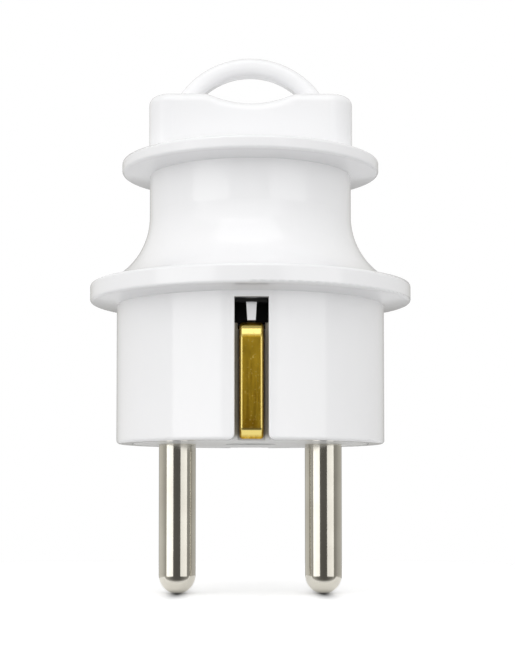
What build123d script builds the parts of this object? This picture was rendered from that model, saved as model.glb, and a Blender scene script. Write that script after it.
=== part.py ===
from build123d import *
import math
import os

# Earthed two-pin mains plug with side earth clips and a pull loop, in millimetres.
# The origin is the centre of the engagement face, where the pins leave the body.
# +Z runs from that face to the pull loop, the pins stand along X, the earth clips face -Y and +Y.

# Contact pins and their pillar terminals
pin_spacing = 19.0
pin_diameter = 4.8
pin_reach = 19.4
pin_relief_diameter = 4.4
pin_shoulder_diameter = 5.8
pin_seat_height = 1.2
terminal_diameter = 6.2
wire_hole_diameter = 2.6
wire_hole_height = 3.4
grub_screw_diameter = 3.5
grub_screw_length = 4.0

# Walls and rooms from the terminals outwards
terminal_room = 0.2
shroud_wall = 1.0
shroud_room = 1.6
skirt_wall = 2.0

# Housing heights and forms, from the engagement face upwards
skirt_height = 17.9
flange_rise = 0.45
lower_flange_overhang = 3.45
lower_flange_thickness = 2.35
flange_land = 1.75
flare_radius = 9.8
waist_diameter = 26.3
grip_height = 14.1
upper_flange_overhang = 3.6
upper_flange_thickness = 1.6
rim_rounding = 0.4
skirt_rounding = 0.45
roof_thickness = 1.8

# Top block with the dip under the pull loop
block_width = 26.0
block_depth = 16.0
block_height = 7.5
block_corner = 3.0
block_rounding = 1.2
block_wall = 2.4
dip_width = 11.0
dip_depth = 1.25
dip_blend = 3.0

# Pull loop
loop_inset = 2.9
loop_rise = 6.28
loop_bar_height = 2.3
loop_bar_depth = 3.2
loop_bar_rounding = 1.0

# Slot in the skirt and the sprung earth strap behind it
slot_lintel = 0.75
slot_gap = 0.575
slot_flare = 0.8
slot_rounding = 0.2
window_opening = 2.85
clip_setback = 1.0
clip_width = 2.95
clip_edge = 0.45
clip_back_edge = 0.2
strap_thickness = 0.8
strap_bend = 1.3
facet_drop = 1.75
facet_angle = 18.0
facet_bend = 1.0
toe_height = 1.25
toe_lift = 0.15
toe_angle = 30.0
toe_bend = 0.9
toe_corner = 0.4
channel_gap = 0.2
channel_depth = 2.1
channel_lead = 0.7
tooth_width = 1.35
tooth_tip_width = 1.0
tooth_depth = 1.4
tooth_gap = 0.15
lip_thickness = 0.4
lip_gap = 0.1

# Contact base
base_gap = 0.15
base_floor = 4.0
base_wall = 2.2
base_rounding = 0.12
boss_wall = 1.5

# Central screw, its threaded insert and the housing's column
housing_screw_diameter = 4.0
housing_screw_head = 6.4
housing_screw_head_height = 2.2
housing_screw_recess = 0.5
screw_hole_room = 0.2
insert_diameter = 5.6
insert_length = 8.0
insert_depth = 0.4
column_wall = 1.1
screw_tip_room = 1.5

# Earth terminal on the strap
earth_screw_diameter = 3.2
earth_screw_head = 5.4
earth_screw_head_height = 1.8
earth_screw_length = 7.0
earth_nut_size = 5.5
earth_nut_thickness = 2.5
earth_washer_size = 6.0
earth_washer_thickness = 1.0
strap_land = 0.9

# Cord inlet and cord grip
cord_diameter = 6.5
inlet_gap = 0.3
inlet_wall = 1.8
inlet_overhang = 0.3
inlet_lift = 0.4
inlet_rounding = 0.8
clamp_screw_diameter = 3.0
clamp_screw_head = 5.2
clamp_screw_head_height = 1.6
clamp_screw_grip = 6.0
clamp_thickness = 2.4
clamp_trough = 1.2
post_diameter = 5.4

# Clearances
slip_gap = 0.05
inner_gap = 0.3
driver_slot_width = 0.8
driver_slot_depth = 0.9

# Radii worked out from the pins outwards
pin_x = pin_spacing / 2
pin_radius = pin_diameter / 2
terminal_radius = terminal_diameter / 2
shroud_inner = pin_x + terminal_radius + terminal_room
shroud_outer = shroud_inner + shroud_wall
cavity_radius = shroud_outer + shroud_room
skirt_radius = cavity_radius + skirt_wall
lower_flange_radius = skirt_radius + lower_flange_overhang
waist_radius = waist_diameter / 2
upper_flange_radius = waist_radius + upper_flange_overhang
flare_foot = lower_flange_radius - flange_land

# Heights worked out from the engagement face upwards
slot_top = skirt_height - slot_lintel
base_top = slot_top - window_opening
lower_rim = skirt_height + flange_rise
lower_top = lower_rim + lower_flange_thickness
waist_top = lower_top + grip_height
upper_rim = waist_top + flange_rise
upper_top = upper_rim + upper_flange_thickness
block_top = upper_top + block_height
flare_top = lower_top + math.sqrt(flare_radius**2 - (flare_radius - flare_foot + waist_radius) ** 2)
ceiling = upper_top - roof_thickness
pocket_top = block_top - dip_depth - block_wall


def clear_height(reach):
    """Height up to which the inside of the flare stays farther from the axis than reach."""
    inner_flare = flare_radius + skirt_wall
    across = min(waist_radius + flare_radius - reach, inner_flare)
    return flare_top - math.sqrt(inner_flare**2 - across**2)


# Places of the inner pieces, from the space inside the flare
shroud_top = clear_height(shroud_outer + inner_gap)
terminal_top = clear_height(pin_x + terminal_radius + 2 * inner_gap)
column_radius = insert_diameter / 2 + column_wall
tooth_front = cavity_radius + skirt_wall / 4
clip_y = skirt_radius - clip_setback
channel_back = clip_y - channel_depth
channel_width = clip_width + 2 * channel_gap
base_radius = cavity_radius - base_gap
earth_y = (column_radius + shroud_inner) / 2
earth_tab = earth_screw_diameter / 2 + 2 * strap_land
eyelet_radius = column_radius + strap_land
post_radius = post_diameter / 2
post_x = cord_diameter / 2 + post_radius + inner_gap
post_y = column_radius + inner_gap + post_radius
post_reach = math.hypot(post_x, post_y) + post_radius
clamp_top = clear_height(post_reach + inner_gap) - clamp_screw_head_height
saddle_top = clamp_top - clamp_thickness
post_top = saddle_top - clamp_thickness
inlet_radius = cord_diameter / 2 + inlet_gap
collar_radius = inlet_radius + inlet_wall
inlet_z = lower_top + collar_radius + inlet_lift
inlet_end = flare_foot + inlet_overhang
loop_radius = block_width / 2 - loop_inset
loop_z = block_top + loop_rise - loop_bar_height / 2 - loop_radius
dip_radius = (dip_width**2 / 4 + dip_depth**2) / (2 * dip_depth)
nut_top = base_top - strap_thickness
head_seat = housing_screw_recess + housing_screw_head_height
insert_bottom = base_top + insert_depth
insert_top = insert_bottom + insert_length
pin_places = [(-pin_x, 0), (pin_x, 0)]
post_places = [(-post_x, post_y), (post_x, post_y)]
sides = {"left": -1, "right": 1}
tolerance = 0.001

os.makedirs("parts", exist_ok=True)


def save(piece, name):
    piece.part.label = name
    export_step(piece.part, f"parts/{name}.step")


# Housing: one moulding with the skirt, flanges, waist, block and pull loop
with BuildPart() as housing:
    with BuildSketch(Plane.XZ) as body_profile:
        with BuildLine():
            Polyline(
                (waist_radius, flare_top),
                (waist_radius, waist_top),
                (upper_flange_radius, upper_rim),
                (upper_flange_radius, upper_top),
                (0, upper_top),
                (0, 0),
                (skirt_radius, 0),
                (skirt_radius, skirt_height),
                (lower_flange_radius, lower_rim),
                (lower_flange_radius, lower_top),
                (flare_foot, lower_top),
            )
            TangentArc((waist_radius, flare_top), (flare_foot, lower_top), tangent=(0, -1))
        make_face()
        for rim_radius in (lower_flange_radius, upper_flange_radius):
            rim = body_profile.vertices().filter_by_position(
                Axis.X, rim_radius - tolerance, rim_radius + tolerance
            )
            fillet(rim, rim_rounding)
        skirt_edge = body_profile.vertices().sort_by(Axis.Y)[:2].sort_by(Axis.X)[-1]
        fillet(skirt_edge, skirt_rounding)
    revolve(axis=Axis.Z)

    # Block with rounded corners and the dip that runs under the loop
    with BuildSketch(Plane.XY.offset(upper_rim)):
        RectangleRounded(block_width, block_depth, block_corner)
    extrude(amount=block_top - upper_rim)
    with BuildSketch(Plane.XZ):
        with Locations((0, block_top - dip_depth + dip_radius)):
            Circle(dip_radius)
    extrude(amount=block_depth, both=True, mode=Mode.SUBTRACT)
    dip_ends = housing.edges().filter_by(Axis.Y).filter_by_position(
        Axis.Z, block_top - tolerance, block_top + tolerance
    ).filter_by_position(Axis.X, -dip_width / 2 - tolerance, dip_width / 2 + tolerance)
    fillet(dip_ends, dip_blend)
    top_edges = housing.edges().filter_by_position(
        Axis.Z, block_top - dip_depth - tolerance, block_top + tolerance
    )
    outer_edges = top_edges.filter_by(
        lambda edge: abs(edge.center().Y) > tolerance or abs(edge.center().X) > block_width / 2 - tolerance
    )
    fillet(outer_edges, block_rounding)

    # Pull loop: half a ring whose legs stand in the block
    with BuildSketch(Plane.XY.offset(loop_z)):
        with Locations((loop_radius, 0)):
            RectangleRounded(loop_bar_height, loop_bar_depth, loop_bar_rounding)
    revolve(axis=Axis((0, 0, loop_z), (0, -1, 0)), revolution_arc=180)

    # Collar of the cord inlet at the back of the waist
    with BuildSketch(Plane((0, 0, inlet_z), x_dir=(1, 0, 0), z_dir=(0, 1, 0))):
        Circle(collar_radius)
    extrude(amount=inlet_end)

    # Room inside, wall-thick below the outer form, with a pocket that cores the block
    with BuildSketch(Plane.XZ):
        with BuildLine():
            flare_start = (cavity_radius, clear_height(cavity_radius))
            Polyline(
                (waist_radius - skirt_wall, flare_top),
                (waist_radius - skirt_wall, ceiling),
                (0, ceiling),
                (0, 0),
                (cavity_radius, 0),
                flare_start,
            )
            TangentArc((waist_radius - skirt_wall, flare_top), flare_start, tangent=(0, -1))
        make_face()
    revolve(axis=Axis.Z, mode=Mode.SUBTRACT)
    with BuildSketch(Plane.XY.offset(ceiling)):
        RectangleRounded(block_width - 2 * block_wall, block_depth - 2 * block_wall, block_wall)
    extrude(amount=pocket_top - ceiling, mode=Mode.SUBTRACT)

    # Slots of the earth clips, open at the engagement face
    with BuildSketch(Plane.XZ) as slot_front:
        with Locations((0, slot_top / 2)):
            Rectangle(clip_width + 2 * slot_gap, slot_top)
        with Locations((0, -slot_flare)):
            Rectangle(clip_width + 2 * slot_gap + 4 * slot_flare, 2 * slot_flare)
        flare_corners = slot_front.vertices().group_by(Axis.Y)[1].sort_by(Axis.X)[1:-1]
        fillet(flare_corners, slot_flare)
    extrude(amount=skirt_radius, both=True, mode=Mode.SUBTRACT)
    slot_edges = housing.edges().filter_by(
        lambda edge: abs(edge.center().X) < clip_width / 2 + slot_gap + tolerance
        and slot_flare < edge.center().Z < slot_top + tolerance
        and math.hypot((edge @ 0.5).X, (edge @ 0.5).Y) > skirt_radius - tolerance
    )
    fillet(slot_edges, slot_rounding)

    # Teeth behind the windows, which hold the earth strap down and the shroud in line
    for facing in (1, -1):
        with BuildSketch(Plane.XZ.offset(facing * tooth_front)):
            Polygon(
                (-tooth_tip_width / 2, base_top + tooth_gap),
                (tooth_tip_width / 2, base_top + tooth_gap),
                (tooth_width / 2, slot_top),
                (tooth_width / 2, lower_rim),
                (-tooth_width / 2, lower_rim),
                (-tooth_width / 2, slot_top),
                align=None,
            )
        extrude(amount=-facing * tooth_depth)

    # Column for the central screw, with the pocket of its threaded insert
    with BuildSketch(Plane.XY.offset(base_top)):
        Circle(column_radius)
    extrude(amount=pocket_top + block_wall / 2 - base_top)
    with BuildSketch(Plane.XY.offset(base_top)):
        Circle(insert_diameter / 2 + slip_gap)
    extrude(amount=insert_top - base_top, mode=Mode.SUBTRACT)
    with BuildSketch(Plane.XY.offset(insert_top)):
        Circle(housing_screw_diameter / 2 + screw_hole_room)
    extrude(amount=screw_tip_room, mode=Mode.SUBTRACT)

    # Bore of the cord inlet, rounded where the cord bends
    with BuildSketch(Plane((0, column_radius + inner_gap, inlet_z), x_dir=(1, 0, 0), z_dir=(0, 1, 0))):
        Circle(inlet_radius)
    extrude(amount=inlet_end, mode=Mode.SUBTRACT)
    mouth = housing.edges().filter_by(GeomType.CIRCLE).filter_by_position(
        Axis.Y, inlet_end - tolerance, inlet_end + tolerance
    )
    fillet(mouth, inlet_rounding)
save(housing, "housing")

# Contact base: moulded insert with bosses for the pins, a web for the strap and posts for the cord grip
with BuildPart() as contact_base:
    with BuildSketch():
        Circle(base_radius)
    extrude(amount=base_floor)
    with BuildSketch(Plane.XY.offset(base_floor)):
        Circle(base_radius)
        Circle(base_radius - base_wall, mode=Mode.SUBTRACT)
        Rectangle(channel_width + 2 * boss_wall, 2 * base_radius - base_wall)
        Circle(eyelet_radius + boss_wall)
        with Locations((0, -earth_y)):
            Circle(earth_tab + boss_wall)
        with Locations(*pin_places):
            Circle(pin_shoulder_diameter / 2 + boss_wall)
        with Locations(*post_places):
            Circle(post_radius)
    extrude(amount=base_top - base_floor)
    with BuildSketch(Plane.XY.offset(base_top)):
        with Locations(*post_places):
            Circle(post_radius)
    extrude(amount=post_top - base_top)
    lower_edge = contact_base.edges().group_by(Axis.Z)[0]
    fillet(lower_edge, base_rounding)

    # Bores that the pins drop into from above, down to their shoulders
    with BuildSketch():
        with Locations(*pin_places):
            Circle(pin_radius + slip_gap)
    extrude(amount=pin_seat_height, mode=Mode.SUBTRACT)
    with BuildSketch(Plane.XY.offset(pin_seat_height)):
        with Locations(*pin_places):
            Circle(pin_shoulder_diameter / 2 + slip_gap)
    extrude(amount=base_top - pin_seat_height, mode=Mode.SUBTRACT)

    # Recess and hole of the central screw
    with BuildSketch():
        Circle(housing_screw_head / 2 + screw_hole_room)
    extrude(amount=head_seat, mode=Mode.SUBTRACT)
    with BuildSketch(Plane.XY.offset(head_seat)):
        Circle(housing_screw_diameter / 2 + screw_hole_room)
    extrude(amount=base_top - head_seat, mode=Mode.SUBTRACT)

    # Bed of the earth strap: flush across the top and open down both sides, where the clips spring
    with BuildSketch(Plane.XY.offset(base_top)):
        Rectangle(channel_width, 2 * base_radius)
        Circle(eyelet_radius + channel_gap)
        with Locations((0, -earth_y)):
            Circle(earth_tab + channel_gap)
    extrude(amount=-strap_thickness, mode=Mode.SUBTRACT)
    for facing in (1, -1):
        with BuildSketch(Plane.XZ.offset(facing * channel_back)):
            Polygon(
                (-channel_width / 2, 0),
                (channel_width / 2, 0),
                (channel_width / 2, base_top - channel_lead),
                (channel_width / 2 + channel_lead / 2, base_top),
                (-channel_width / 2 - channel_lead / 2, base_top),
                (-channel_width / 2, base_top - channel_lead),
                align=None,
            )
        extrude(amount=facing * channel_depth, mode=Mode.SUBTRACT)

    # Nut pocket and screw hole of the earth terminal, and screw holes of the cord grip
    with BuildSketch(Plane.XY.offset(nut_top)):
        with Locations((0, -earth_y)):
            Rectangle(earth_nut_size + 2 * slip_gap, earth_nut_size + 2 * slip_gap)
    extrude(amount=-earth_nut_thickness, mode=Mode.SUBTRACT)
    with BuildSketch(Plane.XY.offset(base_top)):
        with Locations((0, -earth_y)):
            Circle(earth_screw_diameter / 2 + slip_gap)
    extrude(amount=-earth_screw_length, mode=Mode.SUBTRACT)
    with BuildSketch(Plane.XY.offset(post_top)):
        with Locations(*post_places):
            Circle(clamp_screw_diameter / 2 + slip_gap)
    extrude(amount=-clamp_screw_grip - screw_tip_room, mode=Mode.SUBTRACT)
save(contact_base, "contact_base")

# Contact pins: turned, with a domed tip, a shoulder that seats in the base and a pillar terminal on top
for side, sign in sides.items():
    middle = sign * pin_x
    with BuildPart() as pin:
        with BuildSketch(Plane.XZ.move(Location((middle, 0, 0)))):
            with BuildLine():
                Polyline(
                    (pin_radius, pin_radius - pin_reach),
                    (pin_radius, 0),
                    (pin_relief_diameter / 2, 0),
                    (pin_relief_diameter / 2, pin_seat_height),
                    (pin_shoulder_diameter / 2, pin_seat_height),
                    (pin_shoulder_diameter / 2, base_top),
                    (terminal_radius, base_top),
                    (terminal_radius, terminal_top),
                    (0, terminal_top),
                    (0, -pin_reach),
                )
                TangentArc((pin_radius, pin_radius - pin_reach), (0, -pin_reach), tangent=(0, -1))
            make_face()
        revolve(axis=Axis((middle, 0, 0), (0, 0, 1)))
        with BuildSketch(Plane((middle, 0, base_top + wire_hole_height), z_dir=(0, 1, 0))):
            Circle(wire_hole_diameter / 2)
        extrude(amount=terminal_radius, both=True, mode=Mode.SUBTRACT)
        with BuildSketch(Plane((middle, 0, terminal_top))):
            Circle(grub_screw_diameter / 2 + slip_gap)
        extrude(amount=base_top + wire_hole_height - terminal_top, mode=Mode.SUBTRACT)
    save(pin, f"pin_{side}")

    # Grub screw of the pillar terminal, with a driver slot
    with BuildPart() as pin_screw:
        with BuildSketch(Plane((middle, 0, terminal_top))):
            Circle(grub_screw_diameter / 2)
        extrude(amount=-grub_screw_length)
        with BuildSketch(Plane((middle, 0, terminal_top))):
            Rectangle(driver_slot_width, grub_screw_diameter)
        extrude(amount=-driver_slot_depth, mode=Mode.SUBTRACT)
    save(pin_screw, f"pin_screw_{side}")

# Earth strap: one strip bent over the base, with a sprung clip at each end that leans in at both its ends
half_strap = strap_thickness / 2
toe_slope = math.radians(toe_angle)
facet_slope = math.radians(facet_angle)
strap_y = clip_y - half_strap
strap_z = base_top - half_strap
crease_z = toe_height + half_strap * math.tan(toe_slope / 2)
toe_z = toe_lift + half_strap * math.sin(toe_slope)
toe_y = strap_y - (crease_z - toe_z) * math.tan(toe_slope)
facet_z = base_top - facet_drop - half_strap * math.tan(facet_slope / 2)
shoulder_y = strap_y - (strap_z - facet_z) * math.tan(facet_slope)
shoulder_bend = strap_bend - half_strap
with BuildPart() as earth_strap:
    with BuildLine() as strap_path:
        FilletPolyline(
            (0, -toe_y, toe_z),
            (0, -strap_y, crease_z),
            (0, -strap_y, facet_z),
            (0, -shoulder_y, strap_z),
            (0, shoulder_y, strap_z),
            (0, strap_y, facet_z),
            (0, strap_y, crease_z),
            (0, toe_y, toe_z),
            radius=[toe_bend, facet_bend, shoulder_bend, shoulder_bend, facet_bend, toe_bend],
        )
    with BuildSketch(Plane(strap_path.line @ 0, x_dir=(1, 0, 0), z_dir=strap_path.line % 0)) as strip:
        Rectangle(clip_width, strap_thickness)
        fillet(strip.vertices().group_by(Axis.Y)[0], clip_edge)
        fillet(strip.vertices().group_by(Axis.Y)[-1], clip_back_edge)
    sweep(path=strap_path.line)

    # Rounded corners of both toes
    with BuildSketch(Plane.XZ):
        with Locations((0, toe_lift)):
            Rectangle(clip_width, 2 * toe_corner)
        with Locations((0, toe_lift + toe_height)):
            RectangleRounded(clip_width, 2 * toe_height, toe_corner, mode=Mode.SUBTRACT)
    extrude(amount=clip_y, both=True, mode=Mode.SUBTRACT)

    # Eyelet under the column and tab of the earth terminal
    with BuildSketch(Plane.XY.offset(base_top)):
        Circle(eyelet_radius)
        with Locations((0, -earth_y)):
            Circle(earth_tab)
    extrude(amount=-strap_thickness)
    with BuildSketch(Plane.XY.offset(base_top)):
        Circle(housing_screw_diameter / 2 + screw_hole_room)
        with Locations((0, -earth_y)):
            Circle(earth_screw_diameter / 2 + slip_gap)
    extrude(amount=-strap_thickness, mode=Mode.SUBTRACT)
save(earth_strap, "earth_strap")

# Terminal shroud: insulating ring on the base's rim, open at the back for the cord, with a lip in each window
with BuildPart() as terminal_shroud:
    with BuildSketch(Plane.XY.offset(base_top)):
        Circle(shroud_outer)
        Circle(shroud_inner, mode=Mode.SUBTRACT)
    extrude(amount=shroud_top - base_top)
    with BuildSketch(Plane.XY.offset(post_top)):
        with Locations((0, shroud_outer)):
            Rectangle(2 * collar_radius, shroud_outer)
    extrude(amount=shroud_top - post_top, mode=Mode.SUBTRACT)

    # Lips under the lintels, with the holes that the housing's teeth drop through
    with BuildSketch(Plane.XY.offset(slot_top - lip_gap)):
        Rectangle(clip_width + 2 * slot_gap - 2 * lip_gap, 2 * (tooth_front + lip_gap + lip_thickness))
        Circle((shroud_inner + shroud_outer) / 2, mode=Mode.SUBTRACT)
        with Locations((0, tooth_depth / 2 - tooth_front), (0, tooth_front - tooth_depth / 2)):
            Rectangle(tooth_width + 2 * lip_gap, tooth_depth + 2 * lip_gap, mode=Mode.SUBTRACT)
    extrude(amount=-lip_thickness)
save(terminal_shroud, "terminal_shroud")

# Earth terminal: square washer and slotted screw on the strap, and the nut sunk in the base below it
washer_top = base_top + earth_washer_thickness
with BuildPart() as earth_washer:
    with BuildSketch(Plane.XY.offset(base_top)):
        with Locations((0, -earth_y)):
            Rectangle(earth_washer_size, earth_washer_size)
            Circle(earth_screw_diameter / 2 + screw_hole_room, mode=Mode.SUBTRACT)
    extrude(amount=earth_washer_thickness)
save(earth_washer, "earth_washer")

with BuildPart() as earth_nut:
    with BuildSketch(Plane.XY.offset(nut_top)):
        with Locations((0, -earth_y)):
            Rectangle(earth_nut_size, earth_nut_size)
            Circle(earth_screw_diameter / 2 + slip_gap, mode=Mode.SUBTRACT)
    extrude(amount=-earth_nut_thickness)
save(earth_nut, "earth_nut")

with BuildPart() as earth_screw:
    with BuildSketch(Plane.XY.offset(washer_top)):
        with Locations((0, -earth_y)):
            Circle(earth_screw_head / 2)
    extrude(amount=earth_screw_head_height)
    with BuildSketch(Plane.XY.offset(washer_top)):
        with Locations((0, -earth_y)):
            Circle(earth_screw_diameter / 2)
    extrude(amount=-earth_screw_length)
    with BuildSketch(Plane.XY.offset(washer_top + earth_screw_head_height)):
        with Locations((0, -earth_y)):
            Rectangle(earth_screw_head, driver_slot_width)
    extrude(amount=-driver_slot_depth, mode=Mode.SUBTRACT)
save(earth_screw, "earth_screw")

# Cord grip: a saddle on the base's posts and a clamp screwed down on it, each with a trough for the cord
for name, bottom, trough_z in (("cord_saddle", post_top, saddle_top), ("cord_clamp", saddle_top, saddle_top)):
    with BuildPart() as grip:
        with BuildSketch(Plane.XY.offset(bottom)):
            with Locations((0, post_y)):
                SlotCenterToCenter(2 * post_x, post_diameter)
            with Locations(*post_places):
                Circle(clamp_screw_diameter / 2 + screw_hole_room, mode=Mode.SUBTRACT)
        extrude(amount=clamp_thickness)
        with BuildSketch(Plane.XZ.offset(-post_y)):
            with Locations((0, trough_z)):
                Ellipse(cord_diameter / 2, clamp_trough)
        extrude(amount=post_radius, both=True, mode=Mode.SUBTRACT)
    save(grip, name)

for side, sign in sides.items():
    with BuildPart() as clamp_screw:
        with BuildSketch(Plane((sign * post_x, post_y, clamp_top))):
            Circle(clamp_screw_head / 2)
        extrude(amount=clamp_screw_head_height)
        with BuildSketch(Plane((sign * post_x, post_y, clamp_top))):
            Circle(clamp_screw_diameter / 2)
        extrude(amount=post_top - clamp_screw_grip - clamp_top)
        with BuildSketch(Plane((sign * post_x, post_y, clamp_top + clamp_screw_head_height))):
            Rectangle(clamp_screw_head, driver_slot_width)
        extrude(amount=-driver_slot_depth, mode=Mode.SUBTRACT)
    save(clamp_screw, f"clamp_screw_{side}")

# Central screw from the engagement face, and the threaded insert in the housing's column
with BuildPart() as housing_screw:
    with BuildSketch(Plane.XY.offset(housing_screw_recess)):
        Circle(housing_screw_head / 2)
    extrude(amount=housing_screw_head_height)
    with BuildSketch(Plane.XY.offset(head_seat)):
        Circle(housing_screw_diameter / 2)
    extrude(amount=insert_top - head_seat)
    with BuildSketch(Plane.XY.offset(housing_screw_recess)):
        Rectangle(housing_screw_head, driver_slot_width)
    extrude(amount=driver_slot_depth, mode=Mode.SUBTRACT)
save(housing_screw, "housing_screw")

with BuildPart() as threaded_insert:
    with BuildSketch(Plane.XY.offset(insert_bottom)):
        Circle(insert_diameter / 2)
        Circle(housing_screw_diameter / 2 + slip_gap, mode=Mode.SUBTRACT)
    extrude(amount=insert_length)
save(threaded_insert, "threaded_insert")
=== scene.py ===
import math

import bpy
import numpy as np
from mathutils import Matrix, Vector


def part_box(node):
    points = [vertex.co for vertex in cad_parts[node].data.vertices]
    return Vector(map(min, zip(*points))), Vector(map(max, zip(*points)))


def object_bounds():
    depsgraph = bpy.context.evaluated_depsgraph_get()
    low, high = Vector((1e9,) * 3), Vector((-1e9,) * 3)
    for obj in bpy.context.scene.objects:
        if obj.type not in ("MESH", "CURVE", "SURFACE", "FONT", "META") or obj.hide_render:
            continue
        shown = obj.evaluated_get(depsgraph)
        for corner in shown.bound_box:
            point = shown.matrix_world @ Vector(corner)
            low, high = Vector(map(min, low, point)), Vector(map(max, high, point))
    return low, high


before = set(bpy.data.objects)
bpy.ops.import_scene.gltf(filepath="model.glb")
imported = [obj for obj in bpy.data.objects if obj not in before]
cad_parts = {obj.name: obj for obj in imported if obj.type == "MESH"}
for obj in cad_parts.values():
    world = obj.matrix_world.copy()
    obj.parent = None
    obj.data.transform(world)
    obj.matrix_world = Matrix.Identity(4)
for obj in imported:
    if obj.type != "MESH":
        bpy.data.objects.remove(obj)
cad_low, cad_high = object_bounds()


# Contact base: the insert that closes the skirt and carries the pins and the earth strap.
# It is moulded in white polyamide, which comes off the mould with a satin skin and a slight flow in its tone.
# It slides up into the skirt and is held by the central screw, and its channels get a warm painted shade.
def linear(hex_colour):
    """Linear RGBA of an sRGB hex colour, by the two-part sRGB curve."""
    srgb = np.array([int(hex_colour[i : i + 2], 16) for i in (1, 3, 5)]) / 255
    light = np.where(srgb <= 0.04045, srgb / 12.92, ((srgb + 0.055) / 1.055) ** 2.4)
    return (*light.tolist(), 1.0)


def add_node(tree, kind, settings=(), **inputs):
    """Adds a node, sets its own properties, and gives each input a value or a link.

    An input goes by its name, with _ for a space, or by _ and its number where names repeat.
    """
    node = tree.nodes.new(kind)
    for name, value in dict(settings).items():
        setattr(node, name, value)
    for name, value in inputs.items():
        socket = node.inputs[int(name[1:]) if name[1:].isdigit() else name.replace("_", " ")]
        if isinstance(value, bpy.types.NodeSocket):
            tree.links.new(value, socket)
        else:
            socket.default_value = value
    return node


def new_material(name):
    """An empty node material and its node tree."""
    material = bpy.data.materials.new(name)
    material.use_nodes = True
    material.node_tree.nodes.clear()
    return material, material.node_tree


def dress(material, *names):
    """Puts one material on CAD nodes, in place of their plain ones."""
    for name in names:
        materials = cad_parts[name].data.materials
        materials.clear()
        materials.append(material)


cloud_limits = (0.3, 0.7)
flow_size = 0.012
skin_size = 0.0008
plastic_ior = 1.53
plastic_gloss_spread = 0.15


def moulded_plastic(name, pale, deep, roughness, skin_depth=1e-6, sheen=0.5):
    """A moulded plastic: two near tones that flow into each other, and the fine skin that the mould leaves.

    The real skin is too fine for a pixel to show, so it is drawn coarser.
    """
    material, tree = new_material(name)
    place = add_node(tree, "ShaderNodeTexCoord").outputs["Object"]
    flow = add_node(tree, "ShaderNodeTexNoise", Vector=place, Scale=1 / flow_size, Detail=2.0).outputs["Fac"]
    share = add_node(
        tree, "ShaderNodeMapRange", Value=flow, From_Min=cloud_limits[0], From_Max=cloud_limits[1]
    ).outputs[0]
    tone = add_node(
        tree, "ShaderNodeMix", {"data_type": "RGBA"}, _0=share, _6=linear(pale), _7=linear(deep)
    ).outputs[2]
    gloss = add_node(
        tree,
        "ShaderNodeMapRange",
        Value=flow,
        To_Min=(1 - plastic_gloss_spread) * roughness,
        To_Max=(1 + plastic_gloss_spread) * roughness,
    ).outputs[0]
    skin = add_node(tree, "ShaderNodeTexNoise", Vector=place, Scale=1 / skin_size, Detail=1.0).outputs["Fac"]
    relief = add_node(tree, "ShaderNodeBump", Height=skin, Strength=1.0, Distance=skin_depth).outputs[0]
    shader = add_node(
        tree,
        "ShaderNodeBsdfPrincipled",
        Base_Color=tone,
        Roughness=gloss,
        Normal=relief,
        IOR=plastic_ior,
        Specular_IOR_Level=sheen,
    ).outputs[0]
    add_node(tree, "ShaderNodeOutputMaterial", Surface=shader)
    return material


# Painted shade in the channels beside the clips, warm where the brass mirrors into it, and its limits.
channel_painted_shade = "#a39c8c"
channel_half_width = (0.0019, 0.0023)
channel_depth = (0.0138, 0.0142)
channel_foot = (0.0002, 0.0008)

satin_polyamide = moulded_plastic("satin_polyamide", pale="#e9e9e8", deep="#e4e4e2", roughness=0.38)
tree = satin_polyamide.node_tree
place = add_node(tree, "ShaderNodeTexCoord").outputs["Object"]
spot = add_node(tree, "ShaderNodeSeparateXYZ", Vector=place).outputs
across = add_node(tree, "ShaderNodeMath", {"operation": "ABSOLUTE"}, _0=spot["X"]).outputs[0]
outward = add_node(tree, "ShaderNodeMath", {"operation": "ABSOLUTE"}, _0=spot["Y"]).outputs[0]
channel_shade_mask = add_node(
    tree,
    "ShaderNodeMapRange",
    Value=across,
    From_Min=channel_half_width[1],
    From_Max=channel_half_width[0],
).outputs[0]
for value, limits in ((outward, channel_depth), (spot["Z"], channel_foot)):
    inside = add_node(
        tree, "ShaderNodeMapRange", Value=value, From_Min=limits[0], From_Max=limits[1]
    ).outputs[0]
    channel_shade_mask = add_node(tree, "ShaderNodeMath", {"operation": "MULTIPLY"}, _0=channel_shade_mask, _1=inside).outputs[0]
colour = tree.nodes["Principled BSDF"].inputs["Base Color"]
# Mixes the painted shade into the base's tone.
shaded_tone = add_node(
    tree,
    "ShaderNodeMix",
    {"data_type": "RGBA"},
    _0=channel_shade_mask,
    _6=colour.links[0].from_socket,
    _7=linear(channel_painted_shade),
).outputs[2]
tree.links.new(shaded_tone, colour)
dress(satin_polyamide, "contact_base")

# Contact pins: round pins with domed tips, each in one piece with its pillar terminal.
# They are brass, turned on an automatic lathe, polished and nickel plated: a warm mirror with faint rings.
# They drop into the base from above, down to their shoulders.
metal_gloss_spread = 0.2


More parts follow.
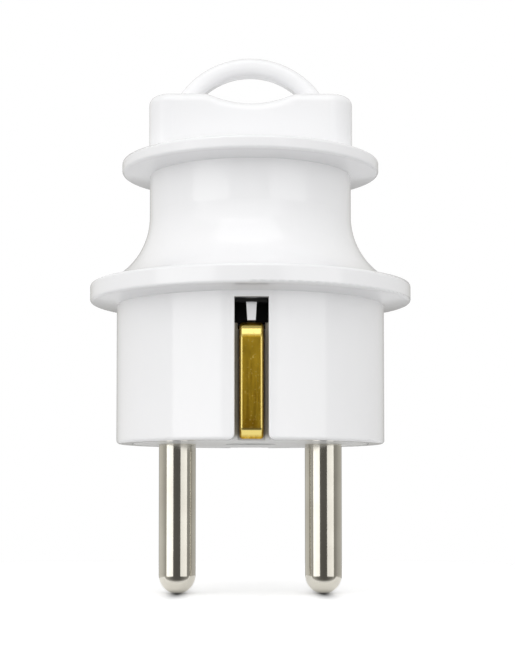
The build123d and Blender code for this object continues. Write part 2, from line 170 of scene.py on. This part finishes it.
def polished_metal(name, bright, dull, roughness, cloud_size, ring_pitch, ring_depth):
    """A plated or turned metal: clouds of slight dulling, and fine rings round the Z axis from the tool.

    The real rings are too fine for a pixel to show, so they are drawn coarser.
    """
    material, tree = new_material(name)
    place = add_node(tree, "ShaderNodeTexCoord").outputs["Object"]
    clouds = add_node(
        tree, "ShaderNodeTexNoise", Vector=place, Scale=1 / cloud_size, Detail=3.0
    ).outputs["Fac"]
    share = add_node(
        tree, "ShaderNodeMapRange", Value=clouds, From_Min=cloud_limits[0], From_Max=cloud_limits[1]
    ).outputs[0]
    tone = add_node(
        tree, "ShaderNodeMix", {"data_type": "RGBA"}, _0=share, _6=linear(bright), _7=linear(dull)
    ).outputs[2]
    gloss = add_node(
        tree,
        "ShaderNodeMapRange",
        Value=clouds,
        To_Min=(1 - metal_gloss_spread) * roughness,
        To_Max=(1 + metal_gloss_spread) * roughness,
    ).outputs[0]
    height = add_node(tree, "ShaderNodeMapping", Vector=place, Scale=(0, 0, 1 / ring_pitch)).outputs[0]
    rings = add_node(tree, "ShaderNodeTexNoise", Vector=height, Scale=1.0, Detail=3.0).outputs["Fac"]
    relief = add_node(tree, "ShaderNodeBump", Height=rings, Strength=1.0, Distance=ring_depth).outputs[0]
    shader = add_node(
        tree,
        "ShaderNodeBsdfPrincipled",
        Base_Color=tone,
        Metallic=1.0,
        Roughness=gloss,
        Normal=relief,
    ).outputs[0]
    add_node(tree, "ShaderNodeOutputMaterial", Surface=shader)
    return material


nickel_plated_brass = polished_metal(
    "nickel_plated_brass",
    bright="#dad7cd",
    dull="#cecac0",
    roughness=0.10,
    cloud_size=0.005,
    ring_pitch=0.0006,
    ring_depth=1e-7,
)
dress(nickel_plated_brass, "pin_left", "pin_right")

# Screws, nut and washer: bought in, of steel with a bright zinc plating.
# The plating is a cold grey with a soft shine, duller than the pins.
zinc_plated_steel = polished_metal(
    "zinc_plated_steel",
    bright="#c6cac9",
    dull="#aeb2b2",
    roughness=0.28,
    cloud_size=0.002,
    ring_pitch=0.0005,
    ring_depth=1e-6,
)
dress(zinc_plated_steel, "pin_screw_left", "pin_screw_right", "earth_screw", "earth_washer", "earth_nut")
dress(zinc_plated_steel, "clamp_screw_left", "clamp_screw_right", "housing_screw")

# Earth strap: one strip of brass, cut, bent over the base and sprung out into a clip on each side.
# Unlacquered rolled brass: burnished along the edges and creases, with a painted highlight there,
# painted shade on the faces turned aside, duller elsewhere and darker towards the bottom of the face,
# with an amber mottle, streaks along the rolling and small pale specks.
pale_brass = "#f2c63c"
amber_brass = "#ae851e"
# Painted shade for the faces turned aside:
shaded_brass = "#8a6a16"
# Painted highlight for the edges and bends:
highlight_brass = "#f2dc84"
mottle_size = 0.0016
speck_size = 0.00025
speck_limits = (0.64, 0.84)
# The real streaks are too fine for a pixel to show, so they are drawn wider.
streak_width = 0.00035
streak_length = 0.006
streak_depth = 2e-6
flat_facing = (0.965, 0.995)
side_facing = (0.74, 0.84)
cut_end = (0.00025, 0.0007)
# The flat face is paler at the top and darker towards the bottom:
tone_height = (0.0125, 0.0015)
tone_gain = (-0.36, 0.12)
worn_limits = (0.75, 1.25)
matt_roughness = (0.28, 0.40)
burnished_roughness = 0.11
speck_roughness = 0.60

rolled_brass, tree = new_material("rolled_brass")
place = add_node(tree, "ShaderNodeTexCoord").outputs["Object"]
height = add_node(tree, "ShaderNodeSeparateXYZ", Vector=place).outputs["Z"]
facing = add_node(tree, "ShaderNodeNewGeometry").outputs["Normal"]
facing = add_node(tree, "ShaderNodeSeparateXYZ", Vector=facing).outputs["Y"]
facing = add_node(tree, "ShaderNodeMath", {"operation": "ABSOLUTE"}, _0=facing).outputs[0]
rim = add_node(
    tree, "ShaderNodeMapRange", Value=facing, From_Min=side_facing[0], From_Max=side_facing[1]
).outputs[0]
flat = add_node(
    tree, "ShaderNodeMapRange", Value=facing, From_Min=flat_facing[0], From_Max=flat_facing[1]
).outputs[0]
burnished_and_highlit = add_node(tree, "ShaderNodeMath", {"operation": "SUBTRACT"}, _0=rim, _1=flat).outputs[0]
above_cut = add_node(
    tree, "ShaderNodeMapRange", Value=height, From_Min=cut_end[0], From_Max=cut_end[1]
).outputs[0]
burnished_and_highlit = add_node(
    tree, "ShaderNodeMath", {"operation": "MULTIPLY"}, _0=burnished_and_highlit, _1=above_cut
).outputs[0]
mottle = add_node(
    tree, "ShaderNodeTexNoise", Vector=place, Scale=1 / mottle_size, Detail=3.0
).outputs["Fac"]
along = add_node(
    tree,
    "ShaderNodeMapping",
    Vector=place,
    Scale=(1 / streak_width, 1 / streak_width, 1 / streak_length),
).outputs[0]
streaks = add_node(tree, "ShaderNodeTexNoise", Vector=along, Scale=1.0, Detail=2.0).outputs["Fac"]
worn = add_node(tree, "ShaderNodeMath", {"operation": "ADD"}, _0=mottle, _1=streaks).outputs[0]
# Paler at the top of the face, darker towards the bottom.
height_tone = add_node(
    tree,
    "ShaderNodeMapRange",
    Value=height,
    From_Min=tone_height[0],
    From_Max=tone_height[1],
    To_Min=tone_gain[0],
    To_Max=tone_gain[1],
).outputs[0]
worn = add_node(tree, "ShaderNodeMath", {"operation": "ADD"}, _0=worn, _1=height_tone).outputs[0]
share = add_node(
    tree, "ShaderNodeMapRange", Value=worn, From_Min=worn_limits[0], From_Max=worn_limits[1]
).outputs[0]
dull_tone = add_node(
    tree, "ShaderNodeMix", {"data_type": "RGBA"}, _0=share, _6=linear(pale_brass), _7=linear(amber_brass)
).outputs[2]
# Painted shade: the faces turned aside from the front take the darker tone.
dull_tone = add_node(
    tree, "ShaderNodeMix", {"data_type": "RGBA"}, _0=rim, _6=linear(shaded_brass), _7=dull_tone
).outputs[2]
specks = add_node(tree, "ShaderNodeTexNoise", Vector=place, Scale=1 / speck_size, Detail=1.0).outputs["Fac"]
speck = add_node(
    tree, "ShaderNodeMapRange", Value=specks, From_Min=speck_limits[0], From_Max=speck_limits[1]
).outputs[0]
bright = add_node(tree, "ShaderNodeMath", {"operation": "MAXIMUM"}, _0=burnished_and_highlit, _1=speck).outputs[0]
# The edges and bends take a paler painted highlight, and the specks a pale tone.
tone = add_node(
    tree, "ShaderNodeMix", {"data_type": "RGBA"}, _0=bright, _6=dull_tone, _7=linear(highlight_brass)
).outputs[2]
gloss = add_node(
    tree,
    "ShaderNodeMapRange",
    Value=mottle,
    From_Min=cloud_limits[0],
    From_Max=cloud_limits[1],
    To_Min=matt_roughness[0],
    To_Max=matt_roughness[1],
).outputs[0]
gloss = add_node(tree, "ShaderNodeMix", _0=burnished_and_highlit, _2=gloss, _3=burnished_roughness).outputs[0]
gloss = add_node(tree, "ShaderNodeMix", _0=speck, _2=gloss, _3=speck_roughness).outputs[0]
relief = add_node(tree, "ShaderNodeBump", Height=streaks, Strength=1.0, Distance=streak_depth).outputs[0]
shader = add_node(
    tree,
    "ShaderNodeBsdfPrincipled",
    Base_Color=tone,
    Metallic=1.0,
    Roughness=gloss,
    Normal=relief,
).outputs[0]
add_node(tree, "ShaderNodeOutputMaterial", Surface=shader)
dress(rolled_brass, "earth_strap")

# Terminal shroud: the black ring that keeps loose strands off the skirt, seen in the windows over the clips.
# Moulded in a dull black phenolic that mirrors little; its black is partly painted shade in the windows.
# It stands on the base's rim, and the housing's teeth drop through its lips.
black_phenolic = moulded_plastic(
    "black_phenolic", pale="#0b0b0a", deep="#060605", roughness=0.7, skin_depth=3e-6, sheen=0.3
)
dress(black_phenolic, "terminal_shroud")

# Cord grip: a saddle on the base's posts and a clamp screwed down on it.
# Both are moulded in the base's polyamide, a little greyer.
grey_polyamide = moulded_plastic("grey_polyamide", pale="#d9d9d6", deep="#d1d1ce", roughness=0.42)
dress(grey_polyamide, "cord_saddle", "cord_clamp")

# Threaded insert: a bush pressed into the housing's column, for the central screw.
# It is turned from free-cutting brass and left bare, a soft yellow with the tool's rings on it.
turned_brass = polished_metal(
    "turned_brass",
    bright="#e0bf6a",
    dull="#c9a44e",
    roughness=0.25,
    cloud_size=0.003,
    ring_pitch=0.0004,
    ring_depth=2e-6,
)
dress(turned_brass, "threaded_insert")

# Housing: one moulding with the skirt, both flanges, the waist, the block and the pull loop.
# White ABS from a polished mould: an even, faintly cool white with a clean gloss and hardly any texture.
# The central screw draws it down over the base.
white_abs = moulded_plastic("white_abs", pale="#f2f2f3", deep="#f0f0f1", roughness=0.10, skin_depth=1.5e-6)
dress(white_abs, "housing")

# Floor: a sheet of paper that the pins stand on, as white as the backdrop and fading out into it all round.
# It has a painted soft shadow under each tip, drawn out front to back, and can be looked through from below.
# The tips mirror the paper round and behind them, and the pins above see the room in its place.
paper_white = "#ffffff"
paper_bounce = "#d0d0d0"
paper_reach = 0.12
paper_fade = (0.03, 0.10)
paper_glow = 0.30
shadow_half_width = 0.0009
shadow_half_length = 0.0058
shadow_fall = 1.5
mirrored_half_width = 0.0008
mirrored_reach = 0.024
mirrored_front = -0.0037

scene = bpy.context.scene
floor_mesh = bpy.data.meshes.new("paper_floor")
corners = paper_reach * np.array([(-1, -1, 0), (1, -1, 0), (1, 1, 0), (-1, 1, 0)]) + (0, 0, cad_low.z)
floor_mesh.from_pydata(corners.tolist(), [], [(0, 1, 2, 3)])
floor = bpy.data.objects.new("paper_floor", floor_mesh)
scene.collection.objects.link(floor)
white_paper, tree = new_material("white_paper")
rays = add_node(tree, "ShaderNodeLightPath").outputs
mirrored = rays["Is Glossy Ray"]
place = add_node(tree, "ShaderNodeTexCoord").outputs["Object"]
spot = add_node(tree, "ShaderNodeSeparateXYZ", Vector=place).outputs
reach = add_node(
    tree, "ShaderNodeVectorMath", {"operation": "DISTANCE"}, _0=place, _1=(0, 0, cad_low.z)
).outputs[1]
faded = add_node(
    tree, "ShaderNodeMapRange", Value=reach, From_Min=paper_fade[0], From_Max=paper_fade[1]
).outputs[0]
in_front = add_node(
    tree, "ShaderNodeMath", {"operation": "LESS_THAN"}, _0=spot["Y"], _1=mirrored_front
).outputs[0]
far_off = add_node(
    tree, "ShaderNodeMath", {"operation": "GREATER_THAN"}, _0=reach, _1=mirrored_reach
).outputs[0]
unseen = add_node(tree, "ShaderNodeMath", {"operation": "MAXIMUM"}, _0=in_front, _1=far_off).outputs[0]
unseen = add_node(tree, "ShaderNodeMath", {"operation": "MULTIPLY"}, _0=unseen, _1=mirrored).outputs[0]
hidden = add_node(tree, "ShaderNodeMath", {"operation": "MAXIMUM"}, _0=faded, _1=unseen).outputs[0]
below = add_node(tree, "ShaderNodeNewGeometry").outputs["Backfacing"]
hidden = add_node(tree, "ShaderNodeMath", {"operation": "MAXIMUM"}, _0=hidden, _1=below).outputs[0]

# Each shadow is half as deep at its half width and half length, and is small and round in a mirror.
pin_low, pin_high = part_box("pin_right")
pin_x = (pin_low[0] + pin_high[0]) / 2
across = add_node(tree, "ShaderNodeMath", {"operation": "ABSOLUTE"}, _0=spot["X"]).outputs[0]
across = add_node(tree, "ShaderNodeMath", {"operation": "SUBTRACT"}, _0=across, _1=pin_x).outputs[0]
width = add_node(
    tree, "ShaderNodeMix", _0=mirrored, _2=shadow_half_width, _3=mirrored_half_width
).outputs[0]
length = add_node(
    tree, "ShaderNodeMix", _0=mirrored, _2=shadow_half_length, _3=mirrored_half_width
).outputs[0]
across = add_node(tree, "ShaderNodeMath", {"operation": "DIVIDE"}, _0=across, _1=width).outputs[0]
along = add_node(tree, "ShaderNodeMath", {"operation": "DIVIDE"}, _0=spot["Y"], _1=length).outputs[0]
away = add_node(tree, "ShaderNodeCombineXYZ", X=across, Y=along).outputs[0]
away = add_node(tree, "ShaderNodeVectorMath", {"operation": "LENGTH"}, _0=away).outputs[1]
away = add_node(tree, "ShaderNodeMath", {"operation": "POWER"}, _0=away, _1=shadow_fall).outputs[0]
shadow = add_node(tree, "ShaderNodeMath", {"operation": "POWER"}, _0=0.5, _1=away).outputs[0]
open_light = add_node(tree, "ShaderNodeMath", {"operation": "SUBTRACT"}, _0=1.0, _1=shadow).outputs[0]

sheet = add_node(tree, "ShaderNodeBsdfDiffuse", Color=linear(paper_bounce)).outputs[0]
white_sheet = add_node(tree, "ShaderNodeBsdfDiffuse", Color=open_light).outputs[0]
glow = add_node(tree, "ShaderNodeMath", {"operation": "MULTIPLY"}, _0=open_light, _1=paper_glow).outputs[0]
glow = add_node(tree, "ShaderNodeEmission", Color=linear(paper_white), Strength=glow).outputs[0]
white_sheet = add_node(tree, "ShaderNodeAddShader", _0=white_sheet, _1=glow).outputs[0]
shader = add_node(
    tree, "ShaderNodeMixShader", _0=rays["Is Diffuse Ray"], _1=white_sheet, _2=sheet
).outputs[0]
clear = add_node(tree, "ShaderNodeBsdfTransparent").outputs[0]
shader = add_node(tree, "ShaderNodeMixShader", _0=hidden, _1=shader, _2=clear).outputs[0]
add_node(tree, "ShaderNodeOutputMaterial", Surface=shader)
floor_mesh.materials.append(white_paper)

# Studio room: a white backdrop, with light from the horizon up and from both sides, less overhead and below.
# Metal mirrors its dim camera side as a dark line between the lit boxes, and a white table below that.
# The table ends in front of the plug, so its edge runs straight across, and it pales towards the horizon.
backdrop_white = "#ffffff"
upper_light = 0.75
zenith_light = 0.42
lower_light = 0.05
side_light = 0.42
lower_height = -0.7
upper_height = 0.25
room_tones = {
    -1.0: 0.115,
    -0.9: 0.135,
    -0.45: 0.35,
    0.0: 0.43,
    0.3: 0.54,
    0.75: 0.62,
    0.92: 0.50,
    0.985: 0.30,
}
room_tint = (1.0, 0.98, 0.92)
left_gain = 0.15
table_slope = 0.55
table_shares = {-0.20: 1.0, -0.14: 0.35, 0.02: 0.0}
table_tone = 0.95

world = bpy.data.worlds.new("studio_room")
scene.world = world
world.use_nodes = True
tree = world.node_tree
tree.nodes.clear()
rays = add_node(tree, "ShaderNodeLightPath").outputs
direction = add_node(tree, "ShaderNodeTexCoord").outputs["Generated"]
toward = add_node(tree, "ShaderNodeSeparateXYZ", Vector=direction).outputs

# What a mirror sees: the room's tones from front to back, and the table's share at each height over its edge.
depth = add_node(tree, "ShaderNodeMapRange", Value=toward["Y"], From_Min=-1.0, From_Max=1.0).outputs[0]
room = add_node(tree, "ShaderNodeValToRGB", Fac=depth)
front = add_node(tree, "ShaderNodeMath", {"operation": "MINIMUM"}, _0=toward["Y"], _1=0.0).outputs[0]
edge = add_node(tree, "ShaderNodeMath", {"operation": "MULTIPLY"}, _0=front, _1=table_slope).outputs[0]
height = add_node(tree, "ShaderNodeMath", {"operation": "SUBTRACT"}, _0=toward["Z"], _1=edge).outputs[0]
height = add_node(tree, "ShaderNodeMapRange", Value=height, From_Min=-1.0, From_Max=1.0).outputs[0]
table_share = add_node(tree, "ShaderNodeValToRGB", Fac=height)
room_colours = {place: np.multiply(tone, room_tint) for place, tone in room_tones.items()}
table_greys = {place: (share, share, share) for place, share in table_shares.items()}
for ramp, colours in ((room, room_colours), (table_share, table_greys)):
    stops = ramp.color_ramp.elements
    stops.remove(stops[1])
    for index, (place, colour) in enumerate(colours.items()):
        along = (place + 1) / 2
        stop = stops.new(along) if index else stops[0]
        stop.position = along
        stop.color = (*colour, 1.0)
gain = add_node(
    tree,
    "ShaderNodeMapRange",
    Value=toward["X"],
    From_Min=-1.0,
    From_Max=1.0,
    To_Min=1 + left_gain,
    To_Max=1 - left_gain,
).outputs[0]
tone = add_node(
    tree, "ShaderNodeVectorMath", {"operation": "SCALE"}, _0=room.outputs[0], Scale=gain
).outputs[0]
table = (table_tone, table_tone, table_tone, 1.0)
seen = add_node(
    tree, "ShaderNodeMix", {"data_type": "RGBA"}, _0=table_share.outputs[0], _6=tone, _7=table
).outputs[2]

# What lights the plug: the room's strength at each height, with more from both sides.
shade = add_node(
    tree,
    "ShaderNodeMapRange",
    Value=toward["Z"],
    From_Min=lower_height,
    From_Max=upper_height,
    To_Min=lower_light,
    To_Max=upper_light,
).outputs[0]
fall = add_node(
    tree,
    "ShaderNodeMapRange",
    Value=toward["Z"],
    From_Min=upper_height,
    From_Max=1.0,
    To_Min=0.0,
    To_Max=upper_light - zenith_light,
).outputs[0]
shade = add_node(tree, "ShaderNodeMath", {"operation": "SUBTRACT"}, _0=shade, _1=fall).outputs[0]
sideways = add_node(tree, "ShaderNodeMath", {"operation": "POWER"}, _0=toward["X"], _1=2.0).outputs[0]
shade = add_node(
    tree, "ShaderNodeMath", {"operation": "MULTIPLY_ADD"}, _0=sideways, _1=side_light, _2=shade
).outputs[0]

lit_room = add_node(tree, "ShaderNodeBackground", Color=linear(backdrop_white), Strength=shade).outputs[0]
seen_room = add_node(tree, "ShaderNodeBackground", Color=seen, Strength=1.0).outputs[0]
backdrop = add_node(tree, "ShaderNodeBackground", Color=linear(backdrop_white), Strength=1.0).outputs[0]
in_view = add_node(
    tree,
    "ShaderNodeMath",
    {"operation": "MAXIMUM"},
    _0=rays["Is Camera Ray"],
    _1=rays["Is Transmission Ray"],
).outputs[0]
light = add_node(
    tree, "ShaderNodeMixShader", _0=rays["Is Glossy Ray"], _1=lit_room, _2=seen_room
).outputs[0]
light = add_node(tree, "ShaderNodeMixShader", _0=in_view, _1=light, _2=backdrop).outputs[0]
add_node(tree, "ShaderNodeOutputWorld", Surface=light)

# Lamps: a low lit box on each side of the camera, a wide strip over them and a box higher up, all soft.
# The side boxes make the bands of light on the pins, the skirt and the waist, the left one the brighter,
# and end below the height that the block mirrors. The strip lights the clip's bend and the top of the flare.
plug_middle = (cad_low + cad_high) / 2
box_distance = 0.50


def lit_box(name, side_angle, height_angle, width, height, radiance):
    """A lit box that faces the plug's middle from a side angle and a height angle, with an even radiance."""
    lamp = bpy.data.objects.new(name, bpy.data.lights.new(name, "AREA"))
    scene.collection.objects.link(lamp)
    lamp.data.shape = "RECTANGLE"
    lamp.data.size = width
    lamp.data.size_y = height
    lamp.data.energy = radiance * math.pi * width * height
    side, rise = math.radians(side_angle), math.radians(height_angle)
    away = Vector((math.sin(side) * math.cos(rise), -math.cos(side) * math.cos(rise), math.sin(rise)))
    lamp.location = plug_middle + box_distance * away
    lamp.rotation_euler = away.to_track_quat("Z", "Y").to_euler()


lit_box("left_box", side_angle=-46, height_angle=0, width=0.40, height=0.25, radiance=1.40)
lit_box("right_box", side_angle=43, height_angle=0, width=0.40, height=0.25, radiance=1.08)
lit_box("upper_box", side_angle=-4, height_angle=60, width=0.46, height=0.36, radiance=1.08)
lit_box("upper_strip", side_angle=-15, height_angle=32, width=1.00, height=0.25, radiance=0.60)

# Camera: a long lens in front of one earth clip, a little below the engagement face and tipped up.
# Its distance, height and tilt come from the pins, the flanges and the loop in the picture,
# and its half a degree to the left from the slot, which stands right of the pins' middle there.
picture_width = 515
picture_height = 660
camera_distance = 0.19984
camera_drop = 0.00649
camera_tilt = math.radians(2.54)
camera_swing = math.radians(0.5)
focal_pixels = 1533.94
axis_column = 250.35
axis_row = 426.08
sensor_size = 36.0
near_limit = 0.01
far_limit = 20

scene.view_settings.view_transform = "Standard"
camera = bpy.data.objects.new("camera", bpy.data.cameras.new("camera"))
scene.collection.objects.link(camera)
camera.location = (
    -camera_distance * math.sin(camera_swing),
    -camera_distance * math.cos(camera_swing),
    -camera_drop,
)
camera.rotation_euler = (math.pi / 2 + camera_tilt, 0, -camera_swing)
camera.data.sensor_width = sensor_size
camera.data.lens = focal_pixels * sensor_size / picture_height
camera.data.shift_x = (picture_width / 2 - axis_column) / picture_height
camera.data.shift_y = (axis_row - picture_height / 2) / picture_height
camera.data.clip_start = near_limit
camera.data.clip_end = far_limit
scene.camera = camera
